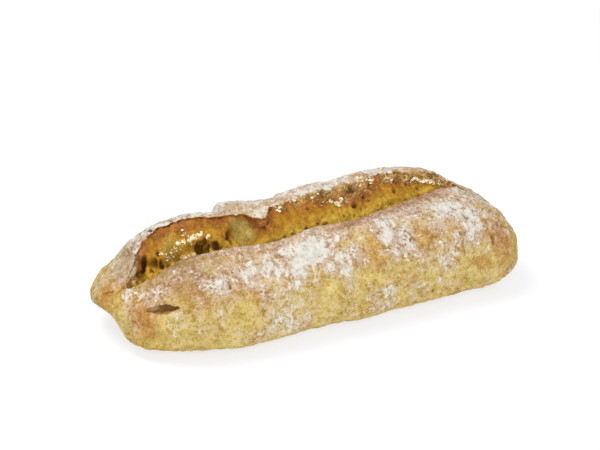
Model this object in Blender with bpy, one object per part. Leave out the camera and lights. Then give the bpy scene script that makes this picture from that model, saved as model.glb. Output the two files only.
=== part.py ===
"""A rustic bread roll: an oblong loaf with a flat base, blunt rounded ends and one long burst score.

The crust in front of the score ends in a soft lip. Behind it the fresh dough climbs as a craggy slope
to a thin, ragged ear of crust, the highest line of the roll. The surface is one closed skin of rings
along X. Each ring is a rounded section whose top is opened by the score. The rings are drawn in towards
the tips by a rounding law, and then pushed in and out by the swellings and hollows that the oven left.
"""

import math

import bpy
import numpy as np

# Sizes are in metres. X runs along the roll, Y to its back, Z up, and the flat base lies on Z = 0.
HALF_LENGTH = 0.0945
LEFT_TIP_Y, RIGHT_TIP_Y = 0.010, -0.010
TIP_Z = 0.017
END_SKEW = 0.06

# How each side rounds off towards the tips: its lengths at the left and right, and the power of its curve.
FRONT_ROUNDING = (0.042, 0.026, 2.0)
BACK_ROUNDING = (0.030, 0.034, 2.3)
TOP_ROUNDING = (0.0235, 0.030, 2.1)
BASE_ROUNDING = (0.047, 0.025, 2.3)

# The section: the level of its widest line, the powers of its curves, and the depth flattened at the base.
WIDEST_Z = 0.014
FRONT_CURVE, BACK_CURVE, BASE_CURVE = 2.25, 2.6, 3.0
BASE_TRIM = 0.0012
SHARE_LIMIT = 0.95

# Values at stations 20 mm apart along X, from -80 mm to 80 mm.
STATION_START, STATION_STEP = -0.080, 0.020
FRONT_WIDTH = (0.0305, 0.0315, 0.0325, 0.0330, 0.0330, 0.0320, 0.0305, 0.0300, 0.0300)
BACK_WIDTH = (0.0310, 0.0345, 0.0355, 0.0355, 0.0350, 0.0350, 0.0345, 0.0335, 0.0310)
FRONT_CROWN = (0.0298, 0.0365, 0.0385, 0.0390, 0.0405, 0.0410, 0.0415, 0.0415, 0.0395)
EAR_RISE = (0.0030, 0.0050, 0.0060, 0.0065, 0.0062, 0.0068, 0.0072, 0.0062, 0.0035)
LIP_Y = (-0.0092, -0.0055, -0.0058, -0.0078, -0.0072, -0.0075, -0.0035, 0.0020, 0.0060)
EAR_Y = (0.0085, 0.0175, 0.0150, 0.0105, 0.0115, 0.0135, 0.0155, 0.0130, 0.0085)
GROOVE_DEPTH = (0.0095, 0.0085, 0.0060, 0.0050, 0.0045, 0.0040, 0.0040, 0.0035, 0.0030)

# The score opens and closes over these stretches of X.
SCORE_START, SCORE_END = -0.0905, 0.080
SCORE_OPENING, SCORE_CLOSING = 0.019, 0.016
GROOVE_SETBACK = 0.0022
FACE_BULGE = 0.0022
EAR_THICKNESS = 0.0011
EAR_OVERHANG = 0.0004

# A fold of dough runs along the left part of the face: its line, as places along X and shares of the way
# up the face, and how far the dough above it stands out from the dough below.
FOLD_LINE = ((-0.080, 0.80), (-0.073, 0.78), (-0.067, 0.46), (-0.050, 0.48), (-0.040, 0.33))
FOLD_START, FOLD_END, FOLD_FADE = -0.084, -0.037, 0.006
FOLD_HEIGHT, FOLD_WIDTH = 0.0032, 0.11

# A tongue of crust hangs forward from the ear here, and the ear's edge is torn into waves.
TONGUE_X, TONGUE_HALF_WIDTH, TONGUE_REACH = -0.0200, 0.0065, 0.0075
TEAR_REACH = 0.0011
TEAR_WAVELENGTHS = (0.0170, 0.0093, 0.0061)

# Swellings and hollows, each with its centre, its reach along X, Y and Z, its push along X, Y and Z, and
# how steep its edge is.
SWELLINGS = (
    # crest behind the ear
    ((0.034, 0.022, 0.047), (0.040, 0.013, 0.020), (0.0, 0.0010, 0.0032), 1),
    # shoulder of the left end
    ((-0.060, 0.022, 0.040), (0.034, 0.016, 0.020), (-0.0010, 0.0010, 0.0022), 1),
    # fold under the nose
    ((-0.093, 0.001, 0.009), (0.013, 0.015, 0.010), (0.0045, 0.0020, 0.0048), 1),
    # front foot of the left end
    ((-0.081, -0.017, 0.006), (0.018, 0.014, 0.012), (-0.0014, -0.0014, -0.0010), 1),
    # full front corner of the right end
    ((0.082, -0.026, 0.016), (0.022, 0.020, 0.022), (0.0020, -0.0012, 0.0), 1),
    # belly and slack stretch of the front flank
    ((-0.045, -0.030, 0.012), (0.030, 0.012, 0.014), (0.0, -0.0008, 0.0), 1),
    ((0.020, -0.026, 0.024), (0.022, 0.014, 0.014), (0.0, 0.0012, -0.0008), 1),
    # dip past the end of the score
    ((0.083, -0.003, 0.036), (0.011, 0.014, 0.012), (0.0, 0.0, -0.0016), 1),
    # smooth pocket in the face
    ((-0.0268, 0.0050, 0.0380), (0.0098, 0.0090, 0.0085), (0.0, 0.0020, -0.0030), 2),
    # cave at the left end, torn hole below the fold, niche below the ear
    ((-0.0750, 0.0030, 0.0310), (0.0060, 0.0060, 0.0080), (0.0, 0.0022, -0.0028), 1),
    ((-0.0485, 0.0035, 0.0355), (0.0055, 0.0040, 0.0050), (0.0, 0.0016, -0.0024), 1.5),
    ((0.0240, 0.0110, 0.0440), (0.0050, 0.0045, 0.0050), (0.0, 0.0018, -0.0012), 1),
)

# Shelves of blistered crust on the ridge: start and end along X, middle and half width along Y, rise, and
# the share of the rise lost towards the end.
SHELVES = (
    (-0.0355, -0.0120, 0.0228, 0.0096, 0.0046, 0.85),
    (-0.0065, 0.0180, 0.0228, 0.0092, 0.0014, 0.80),
)
SHELF_EDGE = 0.0024
SHELF_LOWEST_Z = 0.032

# A burst blister on the front flank: a slanting slit with a raised upper edge.
SLIT_START, SLIT_END = (-0.0784, -0.0171, 0.0232), (-0.0678, -0.0228, 0.0256)
SLIT_HALF_WIDTH, SLIT_DEPTH = 0.0027, 0.0034

# Slow unevenness of the whole skin: wavelength along X, waves round the section, phase and size.
UNEVENNESS = (
    (0.071, 1.0, 0.6, 0.00050),
    (0.043, -2.0, 2.1, 0.00032),
    (0.027, 3.0, 4.4, 0.00018),
    (0.019, -4.0, 1.3, 0.00014),
)

# Rings along the roll, and points in each stretch of a ring.
RINGS = 92
END_CROWDING = 0.80
FLANK_POINTS, GROOVE_POINTS, FACE_POINTS, EAR_POINTS, BACK_POINTS = 21, 3, 11, 3, 18


def along(values, x):
    """A smooth curve through station values: cubic between stations, level beyond the first and last."""
    place = min(max((x - STATION_START) / STATION_STEP, 0.0), len(values) - 1.0)
    left = min(int(place), len(values) - 2)
    t = place - left
    slopes = np.gradient(np.asarray(values))
    return (
        values[left] * (1 + 2 * t) * (1 - t) ** 2
        + values[left + 1] * t * t * (3 - 2 * t)
        + slopes[left] * t * (1 - t) ** 2
        - slopes[left + 1] * t * t * (1 - t)
    )


def ease(t):
    """0 below 0, 1 above 1, and smooth between."""
    t = np.clip(t, 0.0, 1.0)
    return t * t * (3 - 2 * t)


def rounding(x, law):
    """1 along the body, falling to 0 at both tips."""
    left_length, right_length, power = law
    left = 1 - min((x + HALF_LENGTH) / left_length, 1.0)
    right = 1 - min((HALF_LENGTH - x) / right_length, 1.0)
    return (1 - left**power) ** (1 / power) * (1 - right**power) ** (1 / power)


def score_opening(x):
    """How far the score is open at x, from 0 to 1."""
    return ease((x - SCORE_START) / SCORE_OPENING) * ease((SCORE_END - x) / SCORE_CLOSING)


def tear(x):
    """How far the ear's edge reaches forward of its line at x."""
    waves = sum(math.sin(2 * math.pi * x / length + length * 900) for length in TEAR_WAVELENGTHS)
    tongue = ease(1 - abs(x - TONGUE_X) / TONGUE_HALF_WIDTH)
    return TEAR_REACH * waves / len(TEAR_WAVELENGTHS) + TONGUE_REACH * tongue


def crown(x, y, height):
    """The height of the closed crust at x over y."""
    width, curve = (along(FRONT_WIDTH, x), FRONT_CURVE) if y < 0 else (along(BACK_WIDTH, x), BACK_CURVE)
    share = min(abs(y) / width, 1.0)
    return WIDEST_Z + (height - WIDEST_Z) * (1 - share**curve) ** (1 / curve)


def flank(x, side, top_y, height, t):
    """Points (y, z) from the middle of the base (t = 0) round one side to the crown over top_y (t = 1)."""
    width, curve = (along(FRONT_WIDTH, x), FRONT_CURVE) if side < 0 else (along(BACK_WIDTH, x), BACK_CURVE)
    share = min(max(side * top_y / width, -SHARE_LIMIT), SHARE_LIMIT)
    angle = t * (math.pi - math.copysign(math.asin(abs(share) ** (curve / 2)), share))
    low = angle < math.pi / 2
    power = np.where(low, BASE_CURVE, curve)
    reach = np.where(low, WIDEST_Z, height - WIDEST_Z)
    sine, cosine = np.sin(angle), np.cos(angle)
    y = side * width * np.sign(sine) * np.abs(sine) ** (2 / power)
    z = WIDEST_Z - reach * np.sign(cosine) * np.abs(cosine) ** (2 / power)
    return np.stack([y, z], axis=1)


def bezier(a, b, c, t):
    """Points on a curve from a to c that leans towards b."""
    t = t[:, None]
    return a * (1 - t) ** 2 + 2 * b * t * (1 - t) + c * t * t


def fold_rise(x, share):
    """How far the fold pushes the face out at x, at each share of the way up it."""
    fade = ease((x - FOLD_START) / FOLD_FADE) * ease((FOLD_END - x) / FOLD_FADE)
    line = np.interp(x, *zip(*FOLD_LINE))
    return FOLD_HEIGHT * fade * (ease((share - line) / FOLD_WIDTH + 0.5) - 0.5) * np.sin(math.pi * share)


def steps(count):
    """Evenly spaced shares from 0 up to but not including 1."""
    return np.arange(count) / count


def section(x):
    """The ring at x before it is drawn in: points (y, z) from under the base, round the front, and back."""
    opening = score_opening(x)
    front_height = along(FRONT_CROWN, x)
    back_height = front_height + opening * along(EAR_RISE, x)
    lip_y = along(LIP_Y, x)
    ear_y = lip_y + (along(EAR_Y, x) - tear(x) - lip_y) * opening

    lip = np.array([lip_y, crown(x, lip_y, front_height)])
    ear = np.array([ear_y - EAR_OVERHANG * opening, crown(x, ear_y, back_height)])
    groove = lip + opening * np.array([GROOVE_SETBACK, -along(GROOVE_DEPTH, x)])
    under = np.array([ear_y, ear[1] - EAR_THICKNESS * opening])
    edge = lip + opening * np.array([GROOVE_SETBACK, 0.0])
    bulge = (groove + under) / 2 + opening * np.array([-FACE_BULGE, FACE_BULGE])

    front = flank(x, -1, lip_y, front_height, steps(FLANK_POINTS))
    drop = bezier(lip, edge, groove, steps(GROOVE_POINTS))
    face = bezier(groove, bulge, under, steps(FACE_POINTS))
    slope = under - groove
    normal = np.array([-slope[1], slope[0]]) / (np.linalg.norm(slope) + EAR_THICKNESS)
    face = face + normal * fold_rise(x, steps(FACE_POINTS))[:, None]
    rim = bezier(under, (under + ear) / 2, ear, steps(EAR_POINTS))
    back = flank(x, 1, ear_y, back_height, 1 - steps(BACK_POINTS))
    back[0] = ear
    return np.concatenate([front, drop, face, rim, back])


def drawn_in(x, ring):
    """The ring pulled towards the line between the tips, as points (x, y, z)."""
    tip_y = LEFT_TIP_Y + (RIGHT_TIP_Y - LEFT_TIP_Y) * (x + HALF_LENGTH) / (2 * HALF_LENGTH)
    y, z = ring[:, 0], ring[:, 1]
    sideways = np.where(y < tip_y, rounding(x, FRONT_ROUNDING), rounding(x, BACK_ROUNDING))
    upright = np.where(z > TIP_Z, rounding(x, TOP_ROUNDING), rounding(x, BASE_ROUNDING))
    y = tip_y + (y - tip_y) * sideways
    z = TIP_Z + (z - TIP_Z) * upright
    return np.stack([x - END_SKEW * y, y, z], axis=1)


def slit_shape(points):
    """1 along the middle of the burst blister on the front flank, falling to 0 round it."""
    run = np.subtract(SLIT_END, SLIT_START)
    share = np.clip(((points - SLIT_START) @ run) / (run @ run), 0, 1)
    away = np.linalg.norm(points - SLIT_START - share[:, None] * run, axis=1)
    half_width = SLIT_HALF_WIDTH * (1 - 0.7 * (2 * share - 1) ** 2)
    return ease(1.2 * (1 - away / half_width))


def pushed(points):
    """The points moved by the slow unevenness, the swellings, the shelves and the slit."""
    x, y, z = points.T
    radial = np.stack([np.zeros_like(x), y, z - TIP_Z], axis=1)
    radial /= np.linalg.norm(radial, axis=1, keepdims=True) + HALF_LENGTH / 100
    turn = np.arctan2(y, z - TIP_Z)
    uneven = sum(
        size * np.sin(2 * math.pi * x / length + phase + waves * turn)
        for length, waves, phase, size in UNEVENNESS
    )
    moved = points + radial * uneven[:, None]

    for centre, reach, push, steepness in SWELLINGS:
        away = np.linalg.norm((points - centre) / reach, axis=1)
        moved += ease(steepness * (1 - away))[:, None] * np.array(push)

    for start, end, middle, half_width, rise, loss in SHELVES:
        inside = ease((x - start) / SHELF_EDGE) * ease((end - x) / SHELF_EDGE)
        inside *= ease((half_width - np.abs(y - middle)) / SHELF_EDGE) * (z > SHELF_LOWEST_Z)
        moved[:, 2] += rise * inside * (1 - loss * (x - start) / (end - start))

    moved -= radial * (SLIT_DEPTH * slit_shape(points))[:, None]

    moved[:, 2] = np.maximum(moved[:, 2] - BASE_TRIM, 0.0)
    return moved


def ring_places(count):
    """Places along X, closer together towards the tips, without the tips themselves."""
    t = np.linspace(-1, 1, count + 2)[1:-1]
    return HALF_LENGTH * ((1 - END_CROWDING) * t + END_CROWDING * np.sin(math.pi / 2 * t))


def skin():
    """The points and faces of the closed skin: rings of quads, and a fan of triangles to each tip."""
    rings = [drawn_in(x, section(x)) for x in ring_places(RINGS)]
    count = len(rings[0])
    tips = np.array(
        [
            (side * HALF_LENGTH - END_SKEW * y, y, TIP_Z)
            for side, y in ((-1, LEFT_TIP_Y), (1, RIGHT_TIP_Y))
        ]
    )
    points = pushed(np.concatenate([*rings, tips]))
    left_tip, right_tip = RINGS * count, RINGS * count + 1
    last_ring = (RINGS - 1) * count
    faces = []
    for j in range(count):
        k = (j + 1) % count
        faces.append((left_tip, j, k))
        faces.append((right_tip, last_ring + k, last_ring + j))
        for start in range(0, last_ring, count):
            faces.append((start + j, start + count + j, start + count + k, start + k))
    return points, faces


def crust_material():
    material = bpy.data.materials.new("crust")
    material.use_nodes = True
    shader = material.node_tree.nodes["Principled BSDF"]
    shader.inputs["Base Color"].default_value = (0.60, 0.40, 0.17, 1.0)
    shader.inputs["Roughness"].default_value = 0.85
    shader.inputs["Metallic"].default_value = 0.0
    return material


def main():
    for old in list(bpy.data.objects):
        bpy.data.objects.remove(old)
    points, faces = skin()
    mesh = bpy.data.meshes.new("bread_roll")
    mesh.from_pydata(points.tolist(), [], faces)
    mesh.shade_smooth()
    mesh.materials.append(crust_material())
    roll = bpy.data.objects.new("bread_roll", mesh)
    bpy.context.scene.collection.objects.link(roll)


if __name__ == "__main__":
    main()
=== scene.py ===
"""The looks of a rustic bread roll: its floured and freckled crust, the craggy dough inside its burst score,
the torn ear, and the loose grains of flour and crumbs of crust that lie on it."""

import math

import bmesh
import bpy
import numpy as np
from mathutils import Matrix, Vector


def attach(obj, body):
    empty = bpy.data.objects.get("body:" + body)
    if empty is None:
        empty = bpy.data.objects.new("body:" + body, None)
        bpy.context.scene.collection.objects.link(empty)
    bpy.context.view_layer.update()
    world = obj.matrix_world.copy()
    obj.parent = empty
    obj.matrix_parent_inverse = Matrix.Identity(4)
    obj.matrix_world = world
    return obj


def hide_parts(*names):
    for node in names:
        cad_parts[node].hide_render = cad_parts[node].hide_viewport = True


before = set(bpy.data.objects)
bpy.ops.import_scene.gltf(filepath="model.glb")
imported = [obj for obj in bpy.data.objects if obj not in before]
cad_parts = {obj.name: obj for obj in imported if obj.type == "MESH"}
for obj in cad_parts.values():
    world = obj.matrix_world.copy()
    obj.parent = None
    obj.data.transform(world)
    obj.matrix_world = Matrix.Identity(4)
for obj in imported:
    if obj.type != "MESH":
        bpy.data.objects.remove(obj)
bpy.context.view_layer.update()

# Form of the roll, in metres: the same sizes and laws as the solid it dresses.
HALF_LENGTH = 0.0945
LEFT_TIP_Y, RIGHT_TIP_Y = 0.010, -0.010
TIP_Z = 0.017
END_SKEW = 0.06
FRONT_ROUNDING = (0.042, 0.026, 2.0)
BACK_ROUNDING = (0.030, 0.034, 2.3)
TOP_ROUNDING = (0.0235, 0.030, 2.1)
BASE_ROUNDING = (0.047, 0.025, 2.3)
WIDEST_Z = 0.014
FRONT_CURVE, BACK_CURVE, BASE_CURVE = 2.25, 2.6, 3.0
BASE_TRIM = 0.0012
SHARE_LIMIT = 0.95
STATION_START, STATION_STEP = -0.080, 0.020
FRONT_WIDTH = (0.0305, 0.0315, 0.0325, 0.0330, 0.0330, 0.0320, 0.0305, 0.0300, 0.0300)
BACK_WIDTH = (0.0310, 0.0345, 0.0355, 0.0355, 0.0350, 0.0350, 0.0345, 0.0335, 0.0310)
FRONT_CROWN = (0.0298, 0.0365, 0.0385, 0.0390, 0.0405, 0.0410, 0.0415, 0.0415, 0.0395)
EAR_RISE = (0.0030, 0.0050, 0.0060, 0.0065, 0.0062, 0.0068, 0.0072, 0.0062, 0.0035)
LIP_Y = (-0.0092, -0.0055, -0.0058, -0.0078, -0.0072, -0.0075, -0.0035, 0.0020, 0.0060)
EAR_Y = (0.0085, 0.0175, 0.0150, 0.0105, 0.0115, 0.0135, 0.0155, 0.0130, 0.0085)
GROOVE_DEPTH = (0.0095, 0.0085, 0.0060, 0.0050, 0.0045, 0.0040, 0.0040, 0.0035, 0.0030)
SCORE_START, SCORE_END = -0.0905, 0.080
SCORE_OPENING, SCORE_CLOSING = 0.019, 0.016
GROOVE_SETBACK = 0.0022
FACE_BULGE = 0.0022
EAR_THICKNESS = 0.0011
EAR_OVERHANG = 0.0004
FOLD_LINE = ((-0.080, 0.80), (-0.073, 0.78), (-0.067, 0.46), (-0.050, 0.48), (-0.040, 0.33))
FOLD_START, FOLD_END, FOLD_FADE = -0.084, -0.037, 0.006
FOLD_HEIGHT, FOLD_WIDTH = 0.0032, 0.11
TONGUE_X, TONGUE_HALF_WIDTH, TONGUE_REACH = -0.0200, 0.0065, 0.0075
TEAR_REACH = 0.0011
TEAR_WAVELENGTHS = (0.0170, 0.0093, 0.0061)
FINE_TEAR_REACH, FINE_TEAR_SIZE = 0.0010, 0.0023
SWELLINGS = (
    # crest behind the ear
    ((0.034, 0.022, 0.047), (0.040, 0.013, 0.020), (0.0, 0.0010, 0.0032), 1),
    # shoulder of the left end
    ((-0.060, 0.022, 0.040), (0.034, 0.016, 0.020), (-0.0010, 0.0010, 0.0022), 1),
    # fold under the nose
    ((-0.093, 0.001, 0.009), (0.013, 0.015, 0.010), (0.0045, 0.0020, 0.0048), 1),
    # front foot of the left end
    ((-0.081, -0.017, 0.006), (0.018, 0.014, 0.012), (-0.0014, -0.0014, -0.0010), 1),
    # full front corner of the right end
    ((0.082, -0.026, 0.016), (0.022, 0.020, 0.022), (0.0020, -0.0012, 0.0), 1),
    # belly and slack stretch of the front flank
    ((-0.045, -0.030, 0.012), (0.030, 0.012, 0.014), (0.0, -0.0008, 0.0), 1),
    ((0.020, -0.026, 0.024), (0.022, 0.014, 0.014), (0.0, 0.0012, -0.0008), 1),
    # dip past the end of the score
    ((0.083, -0.003, 0.036), (0.011, 0.014, 0.012), (0.0, 0.0, -0.0016), 1),
    # smooth pocket in the face
    ((-0.0268, 0.0050, 0.0380), (0.0098, 0.0090, 0.0085), (0.0, 0.0020, -0.0030), 2),
    # cave at the left end, torn hole below the fold, niche below the ear
    ((-0.0750, 0.0030, 0.0310), (0.0060, 0.0060, 0.0080), (0.0, 0.0022, -0.0028), 1),
    ((-0.0485, 0.0035, 0.0355), (0.0055, 0.0040, 0.0050), (0.0, 0.0016, -0.0024), 1.5),
    ((0.0240, 0.0110, 0.0440), (0.0050, 0.0045, 0.0050), (0.0, 0.0018, -0.0012), 1),
)
SHELVES = (
    (-0.0355, -0.0120, 0.0228, 0.0096, 0.0046, 0.85),
    (-0.0065, 0.0180, 0.0228, 0.0092, 0.0014, 0.80),
)
SHELF_EDGE = 0.0024
SHELF_LOWEST_Z = 0.032
SLIT_START, SLIT_END = (-0.0784, -0.0171, 0.0232), (-0.0678, -0.0228, 0.0256)
SLIT_HALF_WIDTH, SLIT_DEPTH = 0.0027, 0.0034
UNEVENNESS = (
    (0.071, 1.0, 0.6, 0.00050),
    (0.043, -2.0, 2.1, 0.00032),
    (0.027, 3.0, 4.4, 0.00018),
    (0.019, -4.0, 1.3, 0.00014),
)

# Fineness of the skin: rings along X, and points in each stretch of a ring.
RINGS = 430
END_CROWDING = 0.80
FLANK_POINTS, GROOVE_POINTS, FACE_POINTS, EAR_POINTS, BACK_POINTS = 84, 8, 44, 10, 76
UNDERSIDE_SPARING = 0.62

MM = 0.001

# Bands along the ear and the lip, in points of a ring, and how many points the torn edge fades over.
EAR_BAND_BELOW, EAR_BAND_BEHIND = 28, 7
LIP_BAND = 13
TORN_EDGE = 4

# The torn face from the lip to the ear: its length, and the part of it that the smooth face takes up.
CLIMB_LENGTH = 0.021
CLIMB_OF_FACE, CLIMB_SPAN = 0.13, 0.72

# How far past its stated radius a hole, knob or patch fades out.
SPREAD, FLOUR_SPREAD = 1.3, 1.4

# Holes in the torn face: place along X in millimetres, share of the climb, radius, depth and painted shade
# with scorch.
FACE_HOLES = (
    (-47.6, 0.42, 1.7, 2.4, 0.9),
    (-45.2, 0.38, 1.3, 2.0, 0.9),
    (-49.2, 0.44, 1.2, 1.4, 0.8),
    (-46.4, 0.46, 1.2, 1.6, 0.8),
    (-42.4, 0.37, 1.3, 1.8, 0.9),
    (-41.1, 0.33, 1.0, 1.2, 0.6),
    (-34.4, 0.57, 1.2, 1.8, 0.8),
    (-35.6, 0.51, 1.4, 2.2, 1.0),
    (-36.3, 0.45, 1.2, 2.0, 0.9),
    (-35.6, 0.39, 1.1, 1.6, 0.7),
    (-72.8, 0.68, 1.2, 1.8, 0.8),
    (-73.4, 0.62, 1.5, 2.4, 1.0),
    (-76.0, 0.66, 1.1, 1.6, 0.9),
    (-80.1, 0.70, 1.1, 1.4, 0.8),
    (-85.3, 0.60, 1.0, 1.2, 0.8),
    (-71.0, 0.46, 1.1, 1.6, 0.8),
    (-66.0, 0.42, 1.1, 1.6, 0.8),
    (-62.8, 0.36, 0.9, 1.0, 0.6),
    (-68.6, 0.53, 1.0, 1.2, 0.8),
    (-66.4, 0.58, 0.9, 1.0, 0.8),
    (10.6, 0.77, 1.8, 1.8, 0.6),
    (13.6, 0.80, 1.2, 1.2, 0.7),
    (22.5, 0.48, 1.5, 1.4, 0.9),
    (24.7, 0.75, 2.0, 1.6, 0.6),
    (28.5, 0.56, 1.1, 1.0, 0.6),
    (-20.9, 0.66, 1.4, 1.2, 0.7),
    (-18.5, 0.72, 1.2, 1.2, 0.6),
    (3.1, 0.30, 0.9, 1.0, 1.0),
    (-2.5, 0.28, 0.9, 1.0, 1.0),
    (-12.6, 0.25, 0.8, 0.8, 0.8),
    (15.9, 0.34, 0.8, 0.8, 0.8),
    (34.3, 0.78, 1.3, 1.1, 0.8),
    (45.8, 0.72, 1.4, 1.2, 0.8),
    (52.8, 0.68, 1.2, 1.0, 0.8),
    (66.5, 0.52, 1.2, 1.0, 0.7),
)

# Knobs on the torn face: place along X in millimetres, share of the climb, radius and rise.
FACE_KNOBS = (
    (-76.2, 0.78, 2.8, 2.8),
    (-69.2, 0.72, 4.0, 1.4),
    (-58.0, 0.66, 4.6, 1.0),
    (-40.0, 0.55, 4.2, 0.9),
    (12.0, 0.66, 3.0, 0.8),
    (24.6, 0.55, 3.2, 1.2),
)

# The smooth pocket: place along X in millimetres, share of the climb, reach and extra depth.
POCKET = (-28.4, 0.60, 7.6, 1.0)

# Dark pits in the crust, in millimetres: centre, radius, depth, and painted shade with scorch.
CRUST_HOLES = (
    (-45.1, -24.0, 30.4, 1.0, 0.4, 1.0),
    (38.2, -21.9, 33.1, 0.8, 0.5, 1.0),
    (46.4, -30.0, 9.8, 1.1, 0.5, 0.8),
    (-87.2, 14.2, 27.8, 1.2, 0.5, 0.9),
    (-66.7, 18.6, 38.8, 1.3, 0.6, 1.0),
    (-27.0, 20.0, 46.0, 1.5, 0.8, 1.0),
)

# Creases of the crust, in millimetres: both ends, half width and depth.
CREASES = (
    ((77.0, -25.5, 27.5), (76.0, -28.0, 20.5), 0.9, 1.0),
    ((81.6, -22.0, 28.0), (82.6, -27.0, 19.0), 0.8, 0.8),
    ((86.5, -18.0, 28.0), (88.0, -23.0, 20.0), 0.8, 0.8),
    ((62.5, -22.5, 32.2), (62.3, -28.1, 24.0), 0.8, 0.8),
    ((63.8, -10.8, 38.2), (66.8, -17.0, 36.1), 0.7, 0.7),
    ((66.8, -17.0, 36.1), (69.5, -19.5, 34.0), 0.6, 0.6),
    ((37.6, -18.0, 35.9), (41.4, -22.5, 32.3), 0.8, 0.7),
    ((47.0, -20.0, 34.6), (49.0, -25.0, 29.5), 0.6, 0.6),
    ((-20.1, -15.1, 35.2), (-16.9, -18.9, 33.9), 0.6, 0.6),
    ((14.0, 26.0, 38.0), (17.0, 33.0, 26.0), 0.8, 0.8),
    ((-46.0, 27.0, 35.0), (-43.0, 32.0, 25.0), 0.7, 0.7),
    ((62.0, 24.0, 34.0), (64.0, 30.0, 22.0), 0.8, 0.8),
)

# Loose flour, thick where the amount is above 0 and brushed off where it is below: centre and reach, in
# millimetres, and amount.
FLOUR_PATCHES = (
    (-9.5, -18.5, 35.2, 8.5, 0.54),
    (-13.1, -21.8, 32.7, 6.0, 0.29),
    (-24.3, -22.5, 32.1, 6.0, 0.32),
    (-36.1, -19.9, 33.0, 5.0, 0.32),
    (-46.6, -22.2, 31.9, 4.5, 0.40),
    (-57.6, -22.2, 30.6, 4.0, 0.30),
    (-52.0, -21.5, 31.0, 4.0, 0.20),
    (-26.9, -17.1, 34.9, 5.0, 0.25),
    (-12.6, -28.5, 26.6, 5.0, 0.18),
    (-28.7, -33.2, 14.2, 6.0, 0.26),
    (-20.2, -33.2, 15.2, 7.0, 0.26),
    (-49.6, -30.0, 23.6, 3.5, 0.25),
    (-68.6, -25.7, 20.8, 4.5, 0.22),
    (-77.2, -11.2, 26.4, 6.0, 0.25),
    (-84.7, -5.7, 24.9, 3.6, 0.58),
    (-85.7, -10.1, 21.3, 3.4, 0.50),
    (-85.3, -13.4, 16.3, 3.2, 0.40),
    (-84.0, -16.7, 10.6, 3.2, 0.32),
    (2.4, -27.6, 28.5, 7.0, 0.22),
    (-5.9, -15.3, 36.8, 6.0, 0.25),
    (28.4, -20.2, 35.9, 5.0, 0.32),
    (29.6, -12.4, 38.9, 7.0, 0.22),
    (44.7, -12.9, 38.0, 5.0, 0.40),
    (59.7, -9.5, 38.5, 6.5, 0.47),
    (66.8, -13.5, 37.0, 6.0, 0.29),
    (73.4, -16.8, 35.4, 6.0, 0.47),
    (73.1, 2.0, 38.6, 7.0, 0.40),
    (84.0, -3.0, 34.0, 8.0, 0.36),
    (88.5, -12.0, 28.0, 7.0, 0.20),
    (55.1, -28.9, 21.4, 4.5, 0.50),
    (52.1, -25.4, 28.5, 4.0, -0.25),
    (37.8, -19.6, 35.0, 4.0, 0.22),
    (27.3, -9.0, 39.6, 3.5, 0.35),
    (54.2, -8.5, 39.2, 3.5, 0.35),
    (34.3, -12.5, 38.9, 4.0, 0.20),
    (25.5, -31.8, 16.4, 5.5, 0.25),
    (17.4, -15.1, 38.0, 5.0, 0.22),
    (4.3, -13.1, 37.8, 6.0, 0.22),
    (48.5, -10.5, 38.8, 4.0, -0.30),
    (-20.5, 3.0, 43.5, 6.0, 0.45),
    (-91.0, 1.5, 20.0, 8.0, -0.50),
    (-80.0, -20.0, 12.0, 9.0, -0.40),
    (-40.0, -31.0, 21.0, 9.0, -0.20),
    (44.2, -22.5, 32.2, 5.0, -0.50),
    (20.5, -23.5, 33.0, 5.5, -0.40),
    (18.0, -27.5, 27.0, 5.5, -0.30),
    (78.5, -24.0, 28.4, 7.0, -0.32),
    (83.0, -27.0, 17.0, 9.0, -0.22),
)

# Deeper bake of the crust, in millimetres: centre, reach and amount.
BAKED_PATCHES = (
    (-80.5, -19.0, 15.5, 9.0, 0.65),
    (-82.5, -14.0, 22.0, 8.0, 0.6),
    (-74.0, -16.0, 26.0, 10.0, 0.5),
    (-91.0, 3.0, 19.0, 12.0, 0.7),
    (-85.0, 4.0, 27.5, 9.0, 0.4),
    (-62.0, -17.0, 30.0, 12.0, 0.6),
    (-30.0, 34.0, 18.0, 16.0, 0.5),
    (10.0, 30.0, 26.0, 12.0, 0.4),
    (52.0, 33.0, 16.0, 16.0, 0.6),
    (88.0, 6.0, 18.0, 12.0, 0.4),
    (-41.0, -25.0, 29.4, 7.0, 0.5),
    (-33.3, -29.9, 24.5, 5.0, 0.4),
    (43.8, -22.3, 32.4, 7.0, 0.7),
    (36.0, -25.0, 29.0, 6.0, 0.3),
    (84.0, -26.0, 19.0, 12.0, 0.5),
    (80.0, -22.0, 29.0, 10.0, 0.7),
    (-60.0, -25.0, 29.0, 8.0, 0.3),
)

# Depth and size of each layer of relief, in metres.
CRUST_SWELL, CRUST_SWELL_SIZE = 0.00045, 0.0140
CRUST_WRINKLE, CRUST_WRINKLE_SIZE = 0.00032, 0.0036
CRUST_GRAIN, CRUST_GRAIN_SIZE = 0.00018, 0.0013
CRACKLE, CRACKLE_SIZE, CRACKLE_RUN = 0.00030, 0.0030, (1.0, 0.45, 0.45)
END_WRINKLE = 0.00060
TORN_CRAG, TORN_CRAG_SIZE = 0.00070, 0.0046
TORN_GRAIN, TORN_GRAIN_SIZE = 0.00030, 0.0013
RIM_CRAG, RIM_CRAG_SIZE = 0.00150, 0.0030
STREAK, STREAK_SIZE = 0.00022, 0.0012

# The slit's hollow, how deep below the skin it shows, and how dark a crease is painted, as painted shade.
SLIT_HOLLOW, SLIT_SEEN_DEPTH = 0.0016, 0.006
CREASE_SHADE = 0.60

# Stretches of noise, longer along the axes with a number below 1, and sizes of bands and patches.
ALONG_SECTION = (1.0, 0.2, 0.2)
UPRIGHT_RUN = (1.0, 1.0, 0.3)
ROUND_BANDS, BAND_SIZE = (1.0, 0.3, 0.3), 0.009
BROAD_SIZE, PATCHY_SIZE = 0.016, 0.007

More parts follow.
